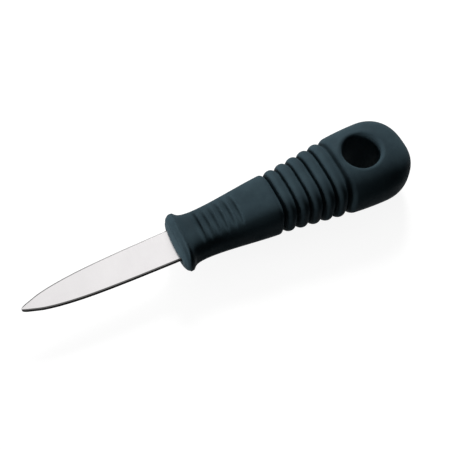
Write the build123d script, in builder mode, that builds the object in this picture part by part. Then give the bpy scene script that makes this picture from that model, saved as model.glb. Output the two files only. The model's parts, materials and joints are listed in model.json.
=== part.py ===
from math import copysign, cos, exp, pi, radians, sin
import os

from build123d import *

# Oyster knife lying flat. +X runs from the blade tip to the pommel, +Y across the blade, +Z up.
# The origin is under the middle of the knife, on the surface that it lies on.

# Blade and tang
blade_reach = 65.0
blade_root_half_width = 7.25
blade_thickness = 1.9
blade_seat_depth = 3.6
tang_length = 46.0
tang_width = 8.0
tang_corner_radius = 2.0
tang_key_radius = 2.0
tang_key_setback = 9.0
tang_key_pitch = 20.0
# distance from the tip as a share of the reach, half width as a share of the root's half width
blade_outline_shares = [
    (0.015, 0.13),
    (0.058, 0.276),
    (0.132, 0.486),
    (0.238, 0.665),
    (0.406, 0.828),
    (0.630, 0.928),
]

# Grip: overall length, squareness of its oval section (2 is an ellipse) and guard
grip_length = 108.3
oval_squareness = 2.7
guard_half_width = 12.0
guard_half_height = 9.6
guard_rim_radius = 1.9
guard_dome_depth = 0.9
guard_flare_length = 1.6
guard_flare_end = 10.5
guard_rim_angles = (-80, 50)
# depth of the dome, and its size against the guard, both as shares
guard_dome_shares = [(0.0, 0.45), (0.4, 0.72)]
guard_flare_shares = (0.15, 0.35, 0.65)

# Stem behind the guard
waist_half_width = 9.45
waist_half_height = 8.65
stem_half_width = 12.05
stem_half_height = 11.65
stem_end = 45.2
stem_shoulder_radius = 1.9
stem_shoulder_angle = 85
# distance along the stem and growth from the waist to the full stem, both as shares
stem_growth_shares = [(0.0, 0.0), (0.28, 0.14), (0.58, 0.49), (0.82, 0.85), (1.0, 1.0)]

# Thumb grooves on both faces of the stem
groove_count = 6
groove_pitch = 3.35
groove_first = 11.2
groove_radius = 1.5
groove_depth = 0.55
groove_half_span = 6.8

# Ringed neck
ring_count = 5
ring_pitch = 5.54
ring_radius = 2.3
ring_first = 48.2
neck_front_half_width = 10.4
neck_front_half_height = 9.6
neck_rear_half_width = 13.15
neck_rear_half_height = 11.35

# Pommel with its hanging eye
pommel_half_width = 17.1
pommel_half_height = 14.45
pommel_shoulder_gap = 0.7
pommel_shoulder_power = 3.0
pommel_foot = 0.6
pommel_round_angles = (0, 15, 30, 45, 58)
pommel_cap_angles = (58, 72, 85)
eye_radius = 8.1
eye_lip_radius = 2.2
eye_to_end = 22.3

# Rigid core inside the grip
core_front_half_width = 6.4
core_rear_half_width = 9.0
core_half_height = 5.2
core_edge_radius = 2.0
core_end_wall = 4.0
window_length = 8.0
window_width = 7.0
window_corner_radius = 2.3
window_gap = 3.5

# Shaping counts, how far each ring's round is wrapped into the neck, and one overrun for joins
oval_points = 16
rim_steps = 5
ring_steps = 9
ring_wrap_angle = 110
shoulder_steps = 4
pommel_steps = 5
overrun = 1.0

# Stations are measured along the axis from the guard's front, and put on X here.
face_x = (blade_reach - grip_length) / 2
last_ring = ring_first + (ring_count - 1) * ring_pitch
pommel_start = last_ring + ring_radius + pommel_shoulder_gap
pommel_turn = grip_length - pommel_half_width
eye_station = grip_length - eye_to_end
shoulder_station = stem_end - stem_shoulder_radius
tang_start = face_x + blade_seat_depth
tang_end = tang_start + tang_length
tang_key_x = tang_end - tang_key_setback
core_end = face_x + eye_station - eye_radius - core_end_wall
window_x = tang_end + window_gap + window_length / 2
window_pitch = window_length + window_gap


def mix(start, end, share):
    """Value between start and end."""
    return start + (end - start) * share


def cross_plane(station):
    """Plane across the knife at a station, local x along +Y and local y along +Z."""
    return Plane(origin=(face_x + station, 0, 0), x_dir=(0, 1, 0), z_dir=(1, 0, 0))


def oval_section(station, half_width, half_height):
    """Face of the grip's slightly squared oval cross-section at a station."""
    points = []
    for index in range(oval_points):
        angle = 2 * pi * index / oval_points
        across = copysign(abs(cos(angle)) ** (2 / oval_squareness), cos(angle))
        up = copysign(abs(sin(angle)) ** (2 / oval_squareness), sin(angle))
        points.append((half_width * across, half_height * up))
    with BuildSketch(cross_plane(station)) as section:
        with BuildLine():
            Spline(points, periodic=True)
        make_face()
    return section.sketch


def guard_section(angle):
    """Section through the guard's round rim, by the angle round that rim."""
    station = guard_dome_depth + guard_rim_radius * (1 + sin(radians(angle)))
    inset = guard_rim_radius * (1 - cos(radians(angle)))
    return station, guard_half_width - inset, guard_half_height - inset


def dome_sections():
    """Shallow domed front of the guard, up to its rim."""
    sections = []
    for depth_share, size_share in guard_dome_shares:
        station = guard_dome_depth * depth_share
        sections.append(oval_section(station, guard_half_width * size_share, guard_half_height * size_share))
    sections.append(oval_section(*guard_section(guard_rim_angles[0])))
    return sections


def stem_size(station):
    """Half width and half height of the stem, from the waist to its rear shoulder."""
    along = (station - guard_flare_end) / (shoulder_station - guard_flare_end)
    for (near, near_growth), (far, far_growth) in zip(stem_growth_shares, stem_growth_shares[1:]):
        if along <= far:
            growth = mix(near_growth, far_growth, (along - near) / (far - near))
            break
    half_width = mix(waist_half_width, stem_half_width, growth)
    half_height = mix(waist_half_height, stem_half_height, growth)
    return half_width, half_height


def stem_sections():
    """Round rim of the guard, concave flare, growing stem and its rounded rear shoulder."""
    sections = []
    for index in range(rim_steps):
        rim = guard_section(mix(*guard_rim_angles, index / (rim_steps - 1)))
        sections.append(oval_section(*rim))
    flare_start, flare_width, flare_height = rim
    for share in guard_flare_shares:
        station = mix(flare_start, guard_flare_end, share)
        fade = exp((flare_start - station) / guard_flare_length)
        half_width = mix(waist_half_width, flare_width, fade)
        half_height = mix(waist_half_height, flare_height, fade)
        sections.append(oval_section(station, half_width, half_height))
    for along_share, _ in stem_growth_shares[:-1]:
        station = mix(guard_flare_end, shoulder_station, along_share)
        sections.append(oval_section(station, *stem_size(station)))
    for index in range(shoulder_steps):
        angle = radians(stem_shoulder_angle * index / (shoulder_steps - 1))
        station = shoulder_station + stem_shoulder_radius * sin(angle)
        drop = stem_shoulder_radius * (1 - cos(angle))
        sections.append(oval_section(station, stem_half_width - drop, stem_half_height - drop))
    return sections


def neck_section(station, rise=0.0):
    """Section of the tapered neck, or of a ring that rises from it."""
    share = (station - ring_first) / (last_ring - ring_first)
    half_width = mix(neck_front_half_width, neck_rear_half_width, share)
    half_height = mix(neck_front_half_height, neck_rear_half_height, share)
    return oval_section(station, half_width + rise, half_height + rise)


def ring_sections(station):
    """Sections of one rounded ring, its foot sunk into the neck."""
    sections = []
    for index in range(ring_steps):
        angle = radians(mix(-ring_wrap_angle, ring_wrap_angle, index / (ring_steps - 1)))
        sections.append(neck_section(station + ring_radius * sin(angle), ring_radius * cos(angle)))
    return sections


def pommel_sections():
    """Sections over the pommel's front shoulder, to where its round end begins."""
    foot = neck_section(pommel_start, -pommel_foot).bounding_box()
    sections = []
    for index in range(pommel_steps):
        share = (index / pommel_steps) ** 2
        growth = (1 - (1 - share) ** pommel_shoulder_power) ** (1 / pommel_shoulder_power)
        station = mix(pommel_start, pommel_turn, share)
        half_width = mix(foot.max.Y, pommel_half_width, growth)
        half_height = mix(foot.max.Z, pommel_half_height, growth)
        sections.append(oval_section(station, half_width, half_height))
    for angle in pommel_round_angles:
        sections.append(end_section(angle))
    return sections


def end_section(angle):
    """Section through the pommel's round end, by the angle past the place where it begins to turn."""
    station = pommel_turn + pommel_half_width * sin(radians(angle))
    shrink = cos(radians(angle))
    return oval_section(station, pommel_half_width * shrink, pommel_half_height * shrink)


# Blade: a spear-shaped blank with its tang, one piece of sheet
with BuildPart() as blade:
    with BuildSketch(Plane.XY.offset(-blade_thickness / 2)):
        with BuildLine():
            tip_x = face_x - blade_reach
            outline = [(tip_x, 0)]
            for along_share, width_share in blade_outline_shares:
                outline.append((tip_x + blade_reach * along_share, blade_root_half_width * width_share))
            outline.append((face_x, blade_root_half_width))
            Spline(outline, tangents=[(0, 1), (1, 0)], tangent_scalars=[1, 1])
            Polyline(
                (face_x, blade_root_half_width),
                (tang_start, blade_root_half_width),
                (tang_start, tang_width / 2),
                (tang_end, tang_width / 2),
                (tang_end, 0),
            )
            mirror(about=Plane.XZ)
        make_face()
    extrude(amount=blade_thickness)
    fillet(blade.edges().filter_by(Axis.Z).sort_by(Axis.X)[-2:], tang_corner_radius)
    with Locations((tang_key_x, 0), (tang_key_x - tang_key_pitch, 0)):
        Hole(tang_key_radius)
blade.part.label = "blade"

# Core: a flat bar moulded round the tang, with two windows that key the grip to it
with BuildPart() as core:
    with BuildSketch(Plane.XY.offset(-core_half_height)):
        with BuildLine():
            round_x = core_end - core_rear_half_width
            Polyline((round_x, core_rear_half_width), (tang_start, core_front_half_width), (tang_start, 0))
            RadiusArc((round_x, core_rear_half_width), (core_end, 0), core_rear_half_width)
            mirror(about=Plane.XZ)
        make_face()
    extrude(amount=2 * core_half_height)
    fillet(core.edges().filter_by(Axis.Z, reverse=True), core_edge_radius)
    with BuildSketch(Plane.XY.offset(core_half_height)):
        with Locations((window_x, 0), (window_x + window_pitch, 0)):
            RectangleRounded(window_length, window_width, window_corner_radius)
    extrude(amount=-2 * core_half_height, mode=Mode.SUBTRACT)
    add(blade.part, mode=Mode.SUBTRACT)
core.part.label = "handle_core"

# Grip: the soft outer moulding
with BuildPart() as grip:
    loft(stem_sections())
    loft(dome_sections())
    # Ringed neck
    loft([neck_section(stem_end - overrun), neck_section(pommel_start + overrun)])
    for index in range(ring_count):
        loft(ring_sections(ring_first + index * ring_pitch))
    # Pommel: a shoulder that rises from the neck, and a round end in two lofts
    loft(pommel_sections())
    loft([end_section(angle) for angle in pommel_cap_angles])
    # Eye through the pommel, with rolled lips
    with Locations((face_x + eye_station, 0, pommel_half_height)):
        Hole(eye_radius)
    eye_rims = grip.faces().filter_by(GeomType.CYLINDER).edges().filter_by(GeomType.LINE, reverse=True)
    fillet(eye_rims, eye_lip_radius)
    # Thumb grooves on both faces, round arcs flatter than the stem so that they fade out at their ends
    for index in range(groove_count):
        station = groove_first + index * groove_pitch
        half_width, half_height = stem_size(station)
        across_share = (groove_half_span / half_width) ** oval_squareness
        edge_drop = half_height * (1 - (1 - across_share) ** (1 / oval_squareness))
        sagitta = edge_drop - groove_depth
        floor_radius = (groove_half_span**2 + sagitta**2) / (2 * sagitta)
        ring_centre = half_height - groove_depth - floor_radius
        with Locations((face_x + station, 0, ring_centre), (face_x + station, 0, -ring_centre)):
            Torus(floor_radius + groove_radius, groove_radius, rotation=(0, 90, 0), mode=Mode.SUBTRACT)
    add([core.part, blade.part], mode=Mode.SUBTRACT)
grip.part.label = "handle_grip"

# The knife lies on its lowest point, which is on the grip.
rest_height = -grip.part.bounding_box().min.Z

os.makedirs("parts", exist_ok=True)
for piece in (blade, core, grip):
    piece.part.move(Location((0, 0, rest_height)))
    export_step(piece.part, f"parts/{piece.part.label}.step")
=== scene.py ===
import json
import logging
import math
from dataclasses import dataclass
from enum import Enum
from typing import Any, Callable, Mapping, Optional, Sequence, Tuple, Union

import bpy
import numpy as np
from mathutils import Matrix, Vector


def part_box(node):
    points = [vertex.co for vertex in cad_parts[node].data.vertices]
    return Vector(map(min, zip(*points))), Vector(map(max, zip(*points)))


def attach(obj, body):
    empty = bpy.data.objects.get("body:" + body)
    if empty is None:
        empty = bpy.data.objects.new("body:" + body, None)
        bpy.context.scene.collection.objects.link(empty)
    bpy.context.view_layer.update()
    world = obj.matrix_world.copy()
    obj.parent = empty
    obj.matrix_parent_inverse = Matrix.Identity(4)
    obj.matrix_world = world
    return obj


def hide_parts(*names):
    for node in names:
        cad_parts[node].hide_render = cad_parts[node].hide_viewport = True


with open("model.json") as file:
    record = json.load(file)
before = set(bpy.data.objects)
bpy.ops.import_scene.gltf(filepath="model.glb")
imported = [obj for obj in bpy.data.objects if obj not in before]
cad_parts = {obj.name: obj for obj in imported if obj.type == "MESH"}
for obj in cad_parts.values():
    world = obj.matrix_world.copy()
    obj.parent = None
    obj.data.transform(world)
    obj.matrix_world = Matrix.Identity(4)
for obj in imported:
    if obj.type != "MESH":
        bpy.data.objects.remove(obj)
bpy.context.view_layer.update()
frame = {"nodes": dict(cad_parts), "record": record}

# An oyster knife lying flat: a short spear-shaped blade that points to -x, in a soft moulded
# handle with a flared guard, thumb grooves, a ringed neck and a pommel with a hanging eye. Sizes
# are in millimetres and angles in degrees, and MM turns a size into the frame's metres.
MM = 0.001
TINY = 1e-6

Triple = Tuple[float, float, float]
Colour = Tuple[float, float, float, float]
Size = Union[float, np.ndarray]
Field = Callable[[np.ndarray, np.ndarray, np.ndarray], np.ndarray]
Value = Union["Signal", float]

WHITE: Colour = (1.0, 1.0, 1.0, 1.0)

log = logging.getLogger("oyster_knife")


class Slot(Enum):
    """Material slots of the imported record."""

    STEEL = "steel"
    CORE = "core_plastic"
    GRIP = "grip_rubber"


@dataclass(frozen=True)
class Grain:
    """Fractal noise: its scale for each millimetre, its octaves and its roughness."""

    scale: float
    octaves: float
    roughness: float


@dataclass(frozen=True)
class Band:
    """A low and a high value."""

    low: float
    high: float


SHARE = Band(0.0, 1.0)


class Signal:
    """One output socket of a shader node that can stand in arithmetic."""

    def __init__(self, sheet: "ShaderSheet", socket: bpy.types.NodeSocket) -> None:
        """Keeps the sheet that new nodes are added to, and the socket."""
        self.sheet = sheet
        self.socket = socket

    def _maths(self, operation: str, first: Value, second: Value) -> "Signal":
        """Adds one Math node for two values."""
        return self.sheet.node("ShaderNodeMath", {"operation": operation}, {0: first, 1: second})

    def __add__(self, other: Value) -> "Signal":
        """Sum."""
        return self._maths("ADD", self, other)

    __radd__ = __add__

    def __mul__(self, other: Value) -> "Signal":
        """Product."""
        return self._maths("MULTIPLY", self, other)

    __rmul__ = __mul__


class ShaderSheet:
    """A material's or a world's node tree, with one method that adds any node."""

    def __init__(self, name: str, for_world: bool = False) -> None:
        """Makes an empty node material or world.

        Args:
            name: the material's or the world's name.
            for_world: whether the sheet is a world's.
        """
        bank = bpy.data.worlds if for_world else bpy.data.materials
        self.output_kind = "ShaderNodeOutputWorld" if for_world else "ShaderNodeOutputMaterial"
        self.owner = bank.new(name)
        self.owner.use_nodes = True
        self.tree = self.owner.node_tree
        self.tree.nodes.clear()

    def feed(self, socket: bpy.types.NodeSocket, value: Any) -> None:
        """Links a signal to a socket, or sets the socket's own value.

        Args:
            socket: an input of a node.
            value: a signal, or a number, colour or vector.
        """
        if isinstance(value, Signal):
            self.tree.links.new(value.socket, socket)
        else:
            socket.default_value = value

    def node(
        self,
        kind: str,
        settings: Optional[Mapping[str, Any]] = None,
        inputs: Optional[Mapping[Union[int, str], Any]] = None,
        output: Union[int, str] = 0,
    ) -> Optional[Signal]:
        """Adds a node, sets it up and returns one of its outputs.

        Args:
            kind: the node's type.
            settings: its properties, which are set before its sockets.
            inputs: values or signals for its sockets.
            output: the output that is returned.

        Returns:
            The chosen output as a signal, or None where the node has no output.
        """
        made = self.tree.nodes.new(kind)
        for name, value in (settings or {}).items():
            setattr(made, name, value)
        for key, value in (inputs or {}).items():
            self.feed(made.inputs[key], value)
        return Signal(self, made.outputs[output]) if made.outputs else None

    def blend_colours(self, share: Signal, first: Colour, second: Colour) -> Signal:
        """Mixes two colours by a share from 0 to 1."""
        inputs = {0: share, 6: first, 7: second}
        return self.node("ShaderNodeMix", {"data_type": "RGBA"}, inputs, output=2)

    def place_mm(self, stretch: Triple = (1.0, 1.0, 1.0)) -> Signal:
        """Finds the surface point in the object's own millimetres.

        Args:
            stretch: factor along each axis.

        Returns:
            The point as a vector.
        """
        place = self.node("ShaderNodeTexCoord", output="Object")
        factors = tuple(value / MM for value in stretch)
        return self.node("ShaderNodeVectorMath", {"operation": "MULTIPLY"}, {0: place, 1: factors})

    def noise(self, place: Signal, grain: Grain) -> Signal:
        """Makes fractal noise.

        Args:
            place: where it is read.
            grain: its scale, octaves and roughness.

        Returns:
            The noise, from 0 to 1.
        """
        inputs = {
            "Vector": place,
            "Scale": grain.scale,
            "Detail": grain.octaves,
            "Roughness": grain.roughness,
        }
        return self.node("ShaderNodeTexNoise", None, inputs)

    def spread(self, value: Signal, band: Band, to: Band) -> Signal:
        """Maps a band of values to another band, held at its ends."""
        inputs = {0: value, 1: band.low, 2: band.high, 3: to.low, 4: to.high}
        return self.node("ShaderNodeMapRange", {"clamp": True}, inputs)

    def bump(self, height: Signal, strength: float, depth: float) -> Signal:
        """Normal of a surface with a fine relief."""
        inputs = {"Height": height, "Strength": strength, "Distance": depth * MM}
        return self.node("ShaderNodeBump", None, inputs)

    def shown(self) -> Signal:
        """Tells rays that show the surface from rays that only bounce light off it.

        Returns:
            One for the camera, reflections and clear stuff, and zero for the rest.
        """
        rays = ("Is Camera Ray", "Is Glossy Ray", "Is Transmission Ray")
        camera, glossy, through = (self.node("ShaderNodeLightPath", output=ray) for ray in rays)
        return camera + glossy + through

    def finish(self, shader: Signal) -> Union[bpy.types.Material, bpy.types.World]:
        """Links a shader to the output and returns the finished material or world."""
        self.node(self.output_kind, None, {"Surface": shader})
        return self.owner


@dataclass(frozen=True)
class SatinSteel:
    """Ground stainless sheet with fine grinding lines across the blade."""

    name: str = "satin_steel"
    pale: Colour = (0.85, 0.83, 0.835, 1.0)
    deep: Colour = (0.81, 0.79, 0.795, 1.0)
    line_stretch: Triple = (6.0, 0.25, 1.0)
    line_grain: Grain = Grain(1.0, 4.0, 0.6)
    line_share: float = 0.5
    line_band: Band = Band(0.3, 0.7)
    line_strength: float = 0.35
    line_depth: float = 0.004
    cloud_grain: Grain = Grain(0.11, 2.0, 0.5)
    tone_band: Band = Band(0.45, 1.05)
    roughness: Band = Band(0.12, 0.18)

    def material(self) -> bpy.types.Material:
        """Builds the material.

        Returns:
            The finished material.
        """
        sheet = ShaderSheet(self.name)
        lines = sheet.noise(sheet.place_mm(self.line_stretch), self.line_grain)
        clouds = sheet.noise(sheet.place_mm(), self.cloud_grain)
        tone = sheet.spread(clouds + lines * self.line_share, self.tone_band, SHARE)
        inputs = {
            "Base Color": sheet.blend_colours(tone, self.deep, self.pale),
            "Metallic": 1.0,
            "Roughness": sheet.spread(lines, self.line_band, self.roughness),
            "Normal": sheet.bump(lines, self.line_strength, self.line_depth),
        }
        return sheet.finish(sheet.node("ShaderNodeBsdfPrincipled", None, inputs))


@dataclass(frozen=True)
class EdgeWithPaintedShade:
    """Blade sides and bevels with painted shade: the sides of the blanked sheet near-black, and
    the narrow bevel beside each broad face a dark grey, by which way each faces.
    """

    name: str = "edge_with_painted_shade"
    # deep is painted shade: the near-black that the steel sides show, put into their colour.
    deep: Colour = (0.006, 0.006, 0.0065, 1.0)
    pale: Colour = (0.18, 0.177, 0.177, 1.0)
    bevel_band: Band = Band(0.3, 0.6)
    roughness: float = 0.42
    specular: float = 0.008

    def material(self) -> bpy.types.Material:
        """Builds the material with painted shade, a dull near-black side that turns to dark grey
        metal where it faces up or down.

        Returns:
            The finished material.
        """
        sheet = ShaderSheet(self.name)
        normal = sheet.node("ShaderNodeNewGeometry", output="True Normal")
        dot = {"operation": "DOT_PRODUCT"}
        upright = sheet.node("ShaderNodeVectorMath", dot, {0: normal, 1: (0.0, 0.0, 1.0)}, "Value")
        level = sheet.node("ShaderNodeMath", {"operation": "ABSOLUTE"}, {0: upright})
        # Painted shade by facing: sides that face across get the near-black, bevels tilted up or
        # down get the dark grey.
        on_bevel = sheet.spread(level, self.bevel_band, SHARE)
        inputs = {
            "Base Color": sheet.blend_colours(on_bevel, self.deep, self.pale),
            "Metallic": on_bevel,
            "Roughness": self.roughness,
            "Specular IOR Level": self.specular,
        }
        return sheet.finish(sheet.node("ShaderNodeBsdfPrincipled", None, inputs))


@dataclass(frozen=True)
class MouldedElastomer:
    """Very dark blue-green soft plastic with the fine grain of its mould."""

    name: str = "moulded_grip"
    deep: Colour = (0.030, 0.049, 0.060, 1.0)
    pale: Colour = (0.037, 0.060, 0.072, 1.0)
    patches: Grain = Grain(1 / 7.0, 3.0, 0.55)
    patch_band: Band = Band(0.38, 0.66)
    grain: Grain = Grain(1 / 0.22, 3.0, 0.65)
    grain_share: float = 0.4
    grain_strength: float = 0.3
    grain_depth: float = 0.02
    dull_band: Band = Band(0.5, 0.9)
    roughness: Band = Band(0.46, 0.60)
    specular: float = 0.008

    def material(self) -> bpy.types.Material:
        """Builds the material.

        Returns:
            The finished material.
        """
        sheet = ShaderSheet(self.name)
        place = sheet.place_mm()
        grain = sheet.noise(place, self.grain)
        patches = sheet.noise(place, self.patches)
        handled = sheet.spread(patches, self.patch_band, SHARE)
        dull = patches + grain * self.grain_share
        inputs = {
            "Base Color": sheet.blend_colours(handled, self.deep, self.pale),
            "Roughness": sheet.spread(dull, self.dull_band, self.roughness),
            "Specular IOR Level": self.specular,
            "Normal": sheet.bump(grain, self.grain_strength, self.grain_depth),
        }
        return sheet.finish(sheet.node("ShaderNodeBsdfPrincipled", None, inputs))


@dataclass(frozen=True)
class CoreNylon:
    """Plain dark moulded plastic of the hidden core."""

    name: str = "core_nylon"
    deep: Colour = (0.06, 0.065, 0.07, 1.0)
    pale: Colour = (0.09, 0.095, 0.10, 1.0)
    grain: Grain = Grain(1 / 0.6, 2.0, 0.5)
    dull_band: Band = Band(0.3, 0.7)
    roughness: Band = Band(0.5, 0.65)

    def material(self) -> bpy.types.Material:
        """Builds the material.

        Returns:
            The finished material.
        """
        sheet = ShaderSheet(self.name)
        grain = sheet.noise(sheet.place_mm(), self.grain)
        inputs = {
            "Base Color": sheet.blend_colours(grain, self.deep, self.pale),
            "Roughness": sheet.spread(grain, self.dull_band, self.roughness),
        }
        return sheet.finish(sheet.node("ShaderNodeBsdfPrincipled", None, inputs))


@dataclass(frozen=True)
class PaleFloor:
    """White floor that keeps the shadow of what lies on it."""

    name: str = "pale_floor"
    own_light: float = 0.90
    seen_colour: Colour = (0.22, 0.22, 0.22, 1.0)
    bounced_colour: Colour = (0.02, 0.02, 0.02, 1.0)

    def material(self) -> bpy.types.Material:
        """Builds the material.

        Returns:
            The finished material.
        """
        sheet = ShaderSheet(self.name)
        glow = sheet.node("ShaderNodeEmission", None, {"Color": WHITE, "Strength": self.own_light})
        lit = sheet.node("ShaderNodeBsdfDiffuse", None, {"Color": self.seen_colour})
        seen = sheet.node("ShaderNodeAddShader", None, {0: glow, 1: lit})
        bounced = sheet.node("ShaderNodeBsdfDiffuse", None, {"Color": self.bounced_colour})
        inputs = {0: sheet.shown(), 1: bounced, 2: seen}
        return sheet.finish(sheet.node("ShaderNodeMixShader", None, inputs))


@dataclass(frozen=True)
class StudioAir:
    """Pale surroundings that steel reflects, and that add next to no light."""

    name: str = "studio_air"
    seen_strength: float = 0.48
    bounced_strength: float = 0.02

    def world(self) -> bpy.types.World:
        """Builds the world.

        Returns:
            The finished world.
        """
        sheet = ShaderSheet(self.name, for_world=True)
        more = self.seen_strength - self.bounced_strength
        strength = sheet.shown() * more + self.bounced_strength
        inputs = {"Color": WHITE, "Strength": strength}
        return sheet.finish(sheet.node("ShaderNodeBackground", None, inputs))


def smooth_least(first: np.ndarray, second: np.ndarray, reach: float) -> np.ndarray:
    """Union of two distance fields with a soft valley of a given reach."""
    overlap = np.maximum(reach - np.abs(first - second), 0.0) / reach
    return np.minimum(first, second) - overlap * overlap * reach / 4


def round_most(first: np.ndarray, second: np.ndarray, radius: float) -> np.ndarray:
    """Keeps the common part of two distance fields, its outer corner rounded.

    Args:
        first: distances to one surface, negative inside.
        second: distances to the other.
        radius: radius of the corner.

    Returns:
        The distances to the common part.
    """
    past_first = np.maximum(first + radius, 0.0)
    past_second = np.maximum(second + radius, 0.0)
    return np.minimum(np.maximum(first, second), -radius) + np.hypot(past_first, past_second)


@dataclass(frozen=True)
class Oval:
    """Half width and half height of a squarish section, one of each or one for every point."""

    half_width: Size
    half_height: Size

    def grown(self, by: Size) -> "Oval":
        """The oval with the same amount added on every side."""
        return Oval(self.half_width + by, self.half_height + by)

    def scaled(self, factor: Size) -> "Oval":
        """The oval times a factor."""
        return Oval(self.half_width * factor, self.half_height * factor)

    def towards(self, other: "Oval", share: Size) -> "Oval":
        """Finds an oval between this one and another.

        Args:
            other: the oval at share 1.
            share: how far towards it.

        Returns:
            The oval between.
        """
        return Oval(
            self.half_width + share * (other.half_width - self.half_width),
            self.half_height + share * (other.half_height - self.half_height),
        )

    def measure(self, y: np.ndarray, z: np.ndarray, power: float) -> Tuple[np.ndarray, np.ndarray]:
        """Measures points by the larger or smaller copy of the oval that runs through them.

        Args:
            y: distances across the handle.
            z: distances up from its axis.
            power: 2 for an ellipse, and more for a squarer oval.

        Returns:
            The copies' sizes, 1 on the oval itself, and how fast they grow.
        """
        across = np.abs(y) / self.half_width
        up = np.abs(z) / self.half_height
        size = np.maximum((across**power + up**power) ** (1 / power), TINY)
        slope_y = (across / size) ** (power - 1) / self.half_width
        slope_z = (up / size) ** (power - 1) / self.half_height
        return size, np.hypot(slope_y, slope_z)

    def offset(self, y: np.ndarray, z: np.ndarray, power: float) -> np.ndarray:
        """Distance of points from the oval, negative inside."""
        size, slope = self.measure(y, z, power)
        return (size - 1) / slope


@dataclass(frozen=True)
class SurfaceNet:
    """Turns a distance field on a grid of points into one closed quad mesh.

    Each cell of the grid that the surface crosses gets a point. The points then settle on the
    surface in a few rounds, along the field's slope, which is read over a small part of a step.
    """

    low: Triple
    high: Triple
    step: float
    settle_rounds: int = 4
    probe_parts: int = 20
    least_slope_squared: float = 0.05

    @property
    def axes(self) -> Sequence[np.ndarray]:
        """Grid positions along each axis."""
        ends = zip(self.low, self.high)
        return [np.arange(start, end + self.step, self.step) for start, end in ends]

    def mesh(self, field: Field) -> Tuple[np.ndarray, np.ndarray]:
        """Finds the surface where a field is zero.

        Args:
            field: function of three coordinate arrays, negative inside.

        Returns:
            Corner points, and the quads as rows of four corner numbers.
        """
        values = field(*np.meshgrid(*self.axes, indexing="ij", sparse=True))
        shape = np.array(values.shape) - 1
        steps = np.array([(i, j, k) for i in (0, 1) for j in (0, 1) for k in (0, 1)])
        inside = values < 0
        count = np.zeros(shape, dtype=np.int8)
        for i, j, k in steps:
            count += inside[i : i + shape[0], j : j + shape[1], k : k + shape[2]]
        cells = np.argwhere((count > 0) & (count < len(steps)))
        number = np.full(shape, -1, dtype=np.int64)
        number[tuple(cells.T)] = np.arange(len(cells))
        points = self._settle(self._cell_points(values, cells, steps), field)
        quads = [self._quads(inside, number, axis) for axis in range(3)]
        return points, np.concatenate(quads)

    def _cell_points(self, values: np.ndarray, cells: np.ndarray, steps: np.ndarray) -> np.ndarray:
        """Takes the mean of the places where the surface crosses each cell's edges.

        Args:
            values: the field on the grid.
            cells: numbers of the crossed cells along each axis.
            steps: a cell's eight corners.

        Returns:
            One point for each cell.
        """
        corners = [values[tuple((cells + step).T)] for step in steps]
        total = np.zeros((len(cells), 3))
        hits = np.zeros(len(cells))
        for start, near in enumerate(steps):
            for end, far in enumerate(steps):
                if end <= start or np.abs(far - near).sum() != 1:
                    continue
                crossed = (corners[start] < 0) != (corners[end] < 0)
                span = np.where(crossed, corners[start] - corners[end], 1.0)
                share = np.where(crossed, corners[start] / span, 0.0)
                total += crossed[:, None] * (near + share[:, None] * (far - near))
                hits += crossed
        return np.array(self.low) + (cells + total / hits[:, None]) * self.step

    def _settle(self, points: np.ndarray, field: Field) -> np.ndarray:
        """Moves the points along the field's slope until they lie on the surface.

        Args:
            points: points near the surface.
            field: the distance field.

        Returns:
            The points on the surface.
        """
        probe = self.step / self.probe_parts
        for _ in range(self.settle_rounds):
            slope = np.empty_like(points)
            for axis in range(3):
                ahead = points.copy()
                behind = points.copy()
                ahead[:, axis] += probe
                behind[:, axis] -= probe
                slope[:, axis] = (field(*ahead.T) - field(*behind.T)) / (2 * probe)
            size = np.maximum((slope**2).sum(axis=1), self.least_slope_squared)
            shift = slope * (field(*points.T) / size)[:, None]
            longest = np.maximum(np.linalg.norm(shift, axis=1) / (self.step / 2), 1.0)
            points = points - shift / longest[:, None]
        return points

    def _quads(self, inside: np.ndarray, number: np.ndarray, axis: int) -> np.ndarray:
        """Makes the quads round the grid edges along one axis that cross the surface.

        Args:
            inside: whether each grid point is inside.
            number: the point's number in each cell.
            axis: the edges' axis.

        Returns:
            The quads, each turned to face outward.
        """
        order = (axis, (axis + 1) % 3, (axis + 2) % 3)
        near = np.moveaxis(inside, order, (0, 1, 2))
        cell = np.moveaxis(number, order, (0, 1, 2))
        start = near[:-1, 1:-1, 1:-1]
        crossing = start != near[1:, 1:-1, 1:-1]
        i, j, k = np.argwhere(crossing).T
        corners = [cell[i, j, k], cell[i, j + 1, k], cell[i, j + 1, k + 1], cell[i, j, k + 1]]
        ring = np.stack(corners, axis=1)
        return np.where(start[crossing][:, None], ring, ring[:, ::-1])


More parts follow.
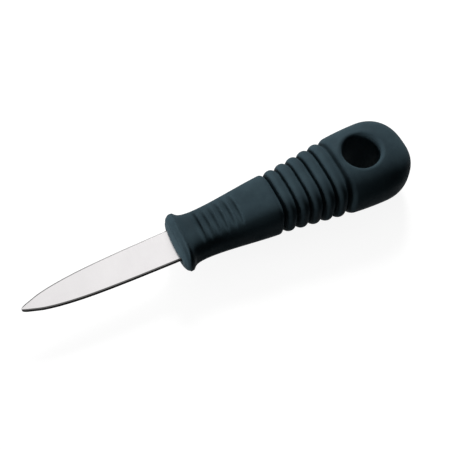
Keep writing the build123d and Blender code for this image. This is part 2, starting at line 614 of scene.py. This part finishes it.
@dataclass
class Grip:
    """Soft outer moulding of the handle, shaped as one continuous skin.

    Stations run along the handle's axis from the middle of the guard's front face. In the fields'
    methods s is a point's station, y its distance across and z its height above the axis, and a
    distance is negative inside.
    """

    axis_height: float
    face_x: float
    length: float
    eye_station: float
    eye_radius: float
    squareness: float = 3.2
    guard: Oval = Oval(12.0, 9.6)
    guard_squareness: float = 2.7
    guard_rim_radius: float = 1.9
    guard_dome_depth: float = 1.15
    guard_blend: float = 0.4
    flare_station: float = 4.26
    flare_rise: float = 2.05
    flare_length: float = 1.85
    flare_reach: float = 1.2
    waist: Oval = Oval(9.32, 8.4)
    stem: Oval = Oval(11.78, 11.5)
    growth_start: float = 10.5
    growth_power: float = 1.6
    growth_power_share: float = 0.5
    stem_end: float = 45.2
    stem_shoulder_radius: float = 1.9
    groove_count: int = 6
    groove_first: float = 11.2
    groove_pitch: float = 3.35
    groove_radius: float = 1.25
    groove_depth: float = 1.0
    groove_half_span: float = 8.0
    groove_edge: float = 0.25
    neck_front: Oval = Oval(10.13, 9.5)
    neck_rear: Oval = Oval(12.9, 11.35)
    neck_overlap: float = 2.0
    ring_count: int = 5
    ring_first: float = 48.2
    ring_pitch: float = 5.54
    ring_half_width: float = 2.6
    ring_height: float = 2.3
    valley_reach: float = 0.3
    pommel: Oval = Oval(17.2, 14.15)
    pommel_squareness: float = 2.7
    pommel_roundness: float = 2.2
    pommel_end_length: float = 16.9
    pommel_start: float = 73.3
    pommel_draw_in: float = 1.1
    pommel_draw_limit: float = 1.2
    pommel_least_slope: float = 1e-3
    pommel_shoulder_radius: float = 3.4
    eye_lip_radius: float = 1.9
    mesh_step: float = 0.42
    margin_steps: int = 3

    @property
    def last_ring(self) -> float:
        """Station of the last ring."""
        return self.ring_first + (self.ring_count - 1) * self.ring_pitch

    @property
    def pommel_turn(self) -> float:
        """Station where the pommel begins its round end."""
        return self.length - self.pommel_end_length

    def growth(self, station: np.ndarray) -> np.ndarray:
        """Finds how far the stem has grown from the waist to its full size.

        Args:
            station: stations along the handle.

        Returns:
            The shares, from 0 at the waist to 1.
        """
        full = self.stem_end - self.stem_shoulder_radius
        along = np.clip((station - self.growth_start) / (full - self.growth_start), 0, 1)
        swell = self.growth_power_share * along**self.growth_power
        return swell + (1 - self.growth_power_share) * along * along * (3 - 2 * along)

    def stem_section(self, station: np.ndarray) -> Oval:
        """Finds the stem's section, with the guard's flare.

        Args:
            station: stations along the handle.

        Returns:
            The section at each of them.
        """
        past = np.maximum(station - self.flare_station, 0)
        flare = self.flare_rise * np.exp(-past / self.flare_length)
        return self.waist.towards(self.stem, self.growth(station)).grown(flare)

    def neck_section(self, station: np.ndarray) -> Oval:
        """Section of the tapered neck under the rings."""
        share = (station - self.ring_first) / (self.last_ring - self.ring_first)
        return self.neck_front.towards(self.neck_rear, share)

    def guard_field(self, s: np.ndarray, y: np.ndarray, z: np.ndarray) -> np.ndarray:
        """Shapes the guard, a shallow dome inside a round rim.

        Args:
            s: stations.
            y: distances across.
            z: heights.

        Returns:
            The points' distances.
        """
        radius = self.guard_rim_radius
        inner = self.guard.grown(-radius).offset(y, z, self.guard_squareness)
        rim_station = self.guard_dome_depth + radius
        rim = np.hypot(s - rim_station, inner) - radius
        size = (y / self.guard.half_width) ** 2 + (z / self.guard.half_height) ** 2
        dome = np.maximum(self.guard_dome_depth * size - s, s - rim_station)
        return smooth_least(rim, np.maximum(inner, dome), self.guard_blend)

    def stem_field(self, s: np.ndarray, y: np.ndarray, z: np.ndarray) -> np.ndarray:
        """Shapes the stem, from inside the guard to its rounded rear shoulder.

        Args:
            s: stations.
            y: distances across.
            z: heights.

        Returns:
            The points' distances.
        """
        side = self.stem_section(s).offset(y, z, self.squareness)
        body = round_most(side, s - self.stem_end, self.stem_shoulder_radius)
        return np.maximum(body, self.guard_dome_depth + self.guard_rim_radius - s)

    def groove_field(self, s: np.ndarray, y: np.ndarray, z: np.ndarray) -> np.ndarray:
        """Shapes the thumb grooves on the stem's top and underside.

        Args:
            s: stations.
            y: distances across.
            z: heights.

        Returns:
            The points' distances from the nearest groove.
        """
        nearest = np.round((s - self.groove_first) / self.groove_pitch)
        index = np.clip(nearest, 0, self.groove_count - 1)
        station = self.groove_first + index * self.groove_pitch
        side = self.stem_section(s).offset(y, z, self.squareness)
        depth = self.groove_depth * (1 - (y / self.groove_half_span) ** 2)
        return np.hypot(side + depth - self.groove_radius, s - station) - self.groove_radius

    def neck_field(self, s: np.ndarray, y: np.ndarray, z: np.ndarray) -> np.ndarray:
        """Shapes the neck with its rings.

        Args:
            s: stations.
            y: distances across.
            z: heights.

        Returns:
            The points' distances.
        """
        side = self.neck_section(s).offset(y, z, self.squareness)
        nearest = np.round((s - self.ring_first) / self.ring_pitch)
        index = np.clip(nearest, 0, self.ring_count - 1)
        station = self.ring_first + self.ring_pitch * index
        along = np.abs(s - station) / self.ring_half_width
        out = np.maximum(side, 0) / self.ring_height
        ring = (np.hypot(along, out) - 1) * self.ring_height
        front = self.stem_end - self.neck_overlap - s
        ends = np.maximum(front, s - self.pommel_start - self.neck_overlap)
        return np.maximum(smooth_least(side, ring, self.valley_reach), ends)

    def pommel_field(self, s: np.ndarray, y: np.ndarray, z: np.ndarray) -> np.ndarray:
        """Shapes the pommel, with its eye and rolled lips.

        Args:
            s: stations.
            y: distances across.
            z: heights.

        Returns:
            The points' distances.
        """
        turn = self.pommel_turn
        before = np.clip((turn - s) / (turn - self.pommel_start), 0, self.pommel_draw_limit)
        drawn = 1 - self.pommel_draw_in / self.pommel.half_width * before**2
        section, growing = self.pommel.scaled(drawn).measure(y, z, self.pommel_squareness)
        past = np.maximum(s - turn, 0) / self.pommel_end_length
        power = self.pommel_roundness
        size = np.maximum((section**power + past**power) ** (1 / power), TINY)
        slope = np.hypot(
            (section / size) ** (power - 1) * growing,
            (past / size) ** (power - 1) / self.pommel_end_length,
        )
        side = (size - 1) / np.maximum(slope, self.pommel_least_slope)
        body = round_most(side, self.pommel_start - s, self.pommel_shoulder_radius)
        eye = self.eye_radius - np.hypot(s - self.eye_station, y)
        return round_most(body, eye, self.eye_lip_radius)

    def field(self, x: np.ndarray, y: np.ndarray, z: np.ndarray) -> np.ndarray:
        """Shapes the whole grip, in the frame's own millimetres.

        Args:
            x: distances along the frame's x.
            y: distances across.
            z: heights above the floor.

        Returns:
            The points' distances.
        """
        s = x - self.face_x
        z = z - self.axis_height
        front = smooth_least(self.guard_field(s, y, z), self.stem_field(s, y, z), self.flare_reach)
        front = -smooth_least(-front, self.groove_field(s, y, z), self.groove_edge)
        whole = smooth_least(front, self.neck_field(s, y, z), self.valley_reach)
        return smooth_least(whole, self.pommel_field(s, y, z), self.valley_reach)

    def build(self, finish: MouldedElastomer) -> bpy.types.Object:
        """Makes the grip's skin and dresses it.

        Args:
            finish: the elastomer that it is moulded in.

        Returns:
            The finished object.
        """
        margin = self.margin_steps * self.mesh_step
        ring_top = self.neck_rear.half_height + self.ring_height
        across = self.pommel.half_width + margin
        up = max(self.pommel.half_height, ring_top) + margin
        low = (self.face_x - margin, -across, self.axis_height - up)
        high = (self.face_x + self.length + margin, across, self.axis_height + up)
        points, quads = SurfaceNet(low, high, self.mesh_step).mesh(self.field)
        return make_object("handle_skin", points, quads, finish.material())


@dataclass
class Blade:
    """Flat spear-shaped blade with narrow ground bevels, and the tang that runs into the handle.

    Its low and high corners are those of the solid. Each pair of outline shares is a distance from
    the tip, as a part of the reach, and the half width there, as a part of the root's.
    """

    low: Triple
    high: Triple
    reach: float = 65.0
    root_half_width: float = 7.25
    tang_half_width: float = 4.0
    bevel_width: float = 0.5
    bevel_drop: float = 0.13
    outline_shares: Tuple[Tuple[float, float], ...] = (
        (0.0, 0.0),
        (0.004, 0.055),
        (0.015, 0.13),
        (0.058, 0.276),
        (0.132, 0.486),
        (0.238, 0.665),
        (0.406, 0.828),
        (0.630, 0.928),
        (1.0, 1.0),
    )
    first_run: float = 0.02
    steps: int = 160
    flat_least: float = 0.99
    sharp_angle: float = 12.0

    def half_width(self, share: np.ndarray) -> np.ndarray:
        """Finds the blade's half width on a smooth curve through the outline.

        Args:
            share: distances from the tip, as parts of the reach.

        Returns:
            The half widths in millimetres.
        """
        along, across = np.array(self.outline_shares).T
        run = np.sqrt(along)
        slopes = np.gradient(across, run)
        place = np.clip(np.searchsorted(run, np.sqrt(share)) - 1, 0, len(run) - 2)
        span = run[place + 1] - run[place]
        t = (np.sqrt(share) - run[place]) / span
        start = (2 * t**3 - 3 * t**2 + 1) * across[place]
        start += (t**3 - 2 * t**2 + t) * span * slopes[place]
        end = (3 * t**2 - 2 * t**3) * across[place + 1]
        end += (t**3 - t**2) * span * slopes[place + 1]
        return (start + end) * self.root_half_width

    def sections(self) -> np.ndarray:
        """Places the corner points of the sections from the tip to the end of the tang.

        Returns:
            The points by section, by corner and by axis.
        """
        share = np.linspace(self.first_run, 1.0, self.steps) ** 2
        stations = list(self.low[0] + share * self.reach)
        widths = list(self.half_width(share))
        tang_start = stations[-1] + self.bevel_width
        stations += [tang_start, tang_start, self.high[0]]
        widths += [self.root_half_width, self.tang_half_width, self.tang_half_width]
        middle = (self.low[2] + self.high[2]) / 2
        top = (self.high[2] - self.low[2]) / 2
        sections = []
        for station, width in zip(stations, widths):
            bevel = min(self.bevel_width, width / 2)
            edge = top - self.bevel_drop * bevel / self.bevel_width
            side = [(-width, -edge), (-width, edge), (bevel - width, top), (width - bevel, top)]
            outline = side + [(-y, -z) for y, z in side]
            sections.append([(station, y, middle + z) for y, z in outline])
        return np.array(sections)

    def build(self, face: SatinSteel, edge: EdgeWithPaintedShade) -> bpy.types.Object:
        """Makes the blade and dresses its faces, bevels and edges.

        Args:
            face: finish of the broad faces.
            edge: finish of the narrow sides and bevels, which paints shade on them.

        Returns:
            The finished object.
        """
        sections = self.sections()
        count = sections.shape[1]
        quads = []
        for near in range(0, (len(sections) - 1) * count, count):
            far = near + count
            for i in range(count):
                after = (i + 1) % count
                quads.append((near + i, near + after, far + after, far + i))
        last = (len(sections) - 1) * count
        caps = [tuple(range(count))[::-1], tuple(range(last, last + count))]
        blade = make_object("blade_leaf", sections.reshape(-1, 3), quads + caps, face.material())
        blade.data.materials.append(edge.material())
        for polygon in blade.data.polygons:
            # Faces that are not flat get the edge finish and its painted shade.
            polygon.material_index = 0 if abs(polygon.normal.z) > self.flat_least else 1
        blade.data.set_sharp_from_angle(angle=math.radians(self.sharp_angle))
        return blade


def make_object(
    name: str, points: np.ndarray, faces: Sequence[Sequence[int]], material: bpy.types.Material
) -> bpy.types.Object:
    """Makes a smooth-shaded mesh object.

    Args:
        name: the object's name.
        points: corner points in millimetres.
        faces: corner numbers of each face.
        material: its finish.

    Returns:
        The object, linked to the scene.
    """
    mesh = bpy.data.meshes.new(name)
    mesh.from_pydata((points * MM).tolist(), [], [list(map(int, face)) for face in faces])
    mesh.update()
    mesh.polygons.foreach_set("use_smooth", [True] * len(mesh.polygons))
    mesh.materials.append(material)
    made = bpy.data.objects.new(name, mesh)
    bpy.context.scene.collection.objects.link(made)
    return made


@dataclass(frozen=True)
class Lamp:
    """Square soft lamp: its direction from the object, power in watts, side and distance."""

    name: str
    azimuth: float
    elevation: float
    power: float
    side: float
    away: float


@dataclass
class Studio:
    """Camera, lamps and floor, all set out from a point beside the handle's axis."""

    face_x: float
    axis_height: float
    look_station: float = 23.119
    look_across: float = -0.48
    azimuth: float = -26.02
    elevation: float = 60.48
    distance: float = 400.0
    lens: float = 78.09
    sensor: float = 36.0
    clip_start: float = 10.0
    floor_half_side: float = 3000.0
    lamps: Tuple[Lamp, ...] = (
        Lamp("back_key", 153.0, 37.0, 8.5, 300.0, 900.0),
        Lamp("overhead_softbox", 150.0, 62.0, 0.75, 700.0, 900.0),
        Lamp("front_strip", -97.0, 6.0, 11.0, 300.0, 900.0),
    )

    def _aim(
        self, name: str, data: bpy.types.ID, azimuth: float, elevation: float, away: float
    ) -> bpy.types.Object:
        """Adds a camera or a lamp that points at the object.

        Args:
            name: its name.
            data: the camera's or the lamp's own data.
            azimuth: its direction from the object, 0 from the front and 90 from +x.
            elevation: its direction above the floor.
            away: its distance.

        Returns:
            The placed object.
        """
        turn, rise = math.radians(azimuth), math.radians(elevation)
        level = math.cos(rise)
        direction = Vector((math.sin(turn) * level, -math.cos(turn) * level, math.sin(rise)))
        look_at = Vector((self.face_x + self.look_station, self.look_across, self.axis_height))
        made = bpy.data.objects.new(name, data)
        made.location = (look_at + direction * away) * MM
        made.rotation_euler = (-direction).to_track_quat("-Z", "Y").to_euler()
        bpy.context.scene.collection.objects.link(made)
        return made

    def set_camera(self) -> None:
        """Places the camera at the photograph's viewing angle."""
        data = bpy.data.cameras.new("camera")
        data.lens = self.lens
        data.sensor_width = self.sensor
        data.sensor_fit = "HORIZONTAL"
        data.clip_start = self.clip_start * MM
        camera = self._aim("camera", data, self.azimuth, self.elevation, self.distance)
        bpy.context.scene.camera = camera

    def light(self) -> None:
        """Sets the lamps and the world."""
        for lamp in self.lamps:
            data = bpy.data.lights.new(lamp.name, "AREA")
            data.energy = lamp.power
            data.size = lamp.side * MM
            self._aim(lamp.name, data, lamp.azimuth, lamp.elevation, lamp.away)
        bpy.context.scene.world = StudioAir().world()
        bpy.context.scene.view_settings.view_transform = "Standard"

    def lay_floor(self, finish: PaleFloor) -> None:
        """Lays the floor under the object.

        Args:
            finish: the floor's finish.
        """
        side = self.floor_half_side
        corners = [(-side, -side, 0), (side, -side, 0), (side, side, 0), (-side, side, 0)]
        floor = make_object("floor", np.array(corners), [(0, 1, 2, 3)], finish.material())


def dress_node(node: str, slot: Slot, material: bpy.types.Material) -> None:
    """Gives a CAD node that stays its procedural material.

    Args:
        node: the node's name.
        slot: the slot that the record gives it.
        material: its finish.
    """
    piece = frame["nodes"][node]
    piece.data.materials.clear()
    piece.data.materials.append(material)
    log.info("node %s keeps its shape, slot %s", node, slot.value)


def main() -> None:
    """Builds the knife's pieces, the studio and the camera in order."""
    logging.basicConfig(level=logging.INFO, format="%(name)s: %(message)s")
    mount = frame["record"]["mounts"][0]
    grip_low, grip_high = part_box("handle_grip")
    eye_x, _, axis_z = (value / MM for value in mount["pos_m"])
    face_x = grip_low[0] / MM
    grip = Grip(
        axis_height=axis_z,
        face_x=face_x,
        length=(grip_high[0] - grip_low[0]) / MM,
        eye_station=eye_x - face_x,
        eye_radius=mount["dims"]["r_mm"],
    )
    skin = grip.build(MouldedElastomer())
    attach(skin, "root")
    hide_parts("handle_grip")
    log.info("handle_skin has %d faces", len(skin.data.polygons))
    blade_low, blade_high = (tuple(value / MM for value in corner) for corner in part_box("blade"))
    leaf = Blade(low=blade_low, high=blade_high).build(SatinSteel(), EdgeWithPaintedShade())
    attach(leaf, "root")
    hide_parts("blade")
    log.info("blade_leaf has %d faces", len(leaf.data.polygons))
    dress_node("handle_core", Slot.CORE, CoreNylon().material())
    studio = Studio(face_x=face_x, axis_height=axis_z)
    studio.set_camera()
    studio.light()
    studio.lay_floor(PaleFloor())


if __name__ == "__main__":
    main()
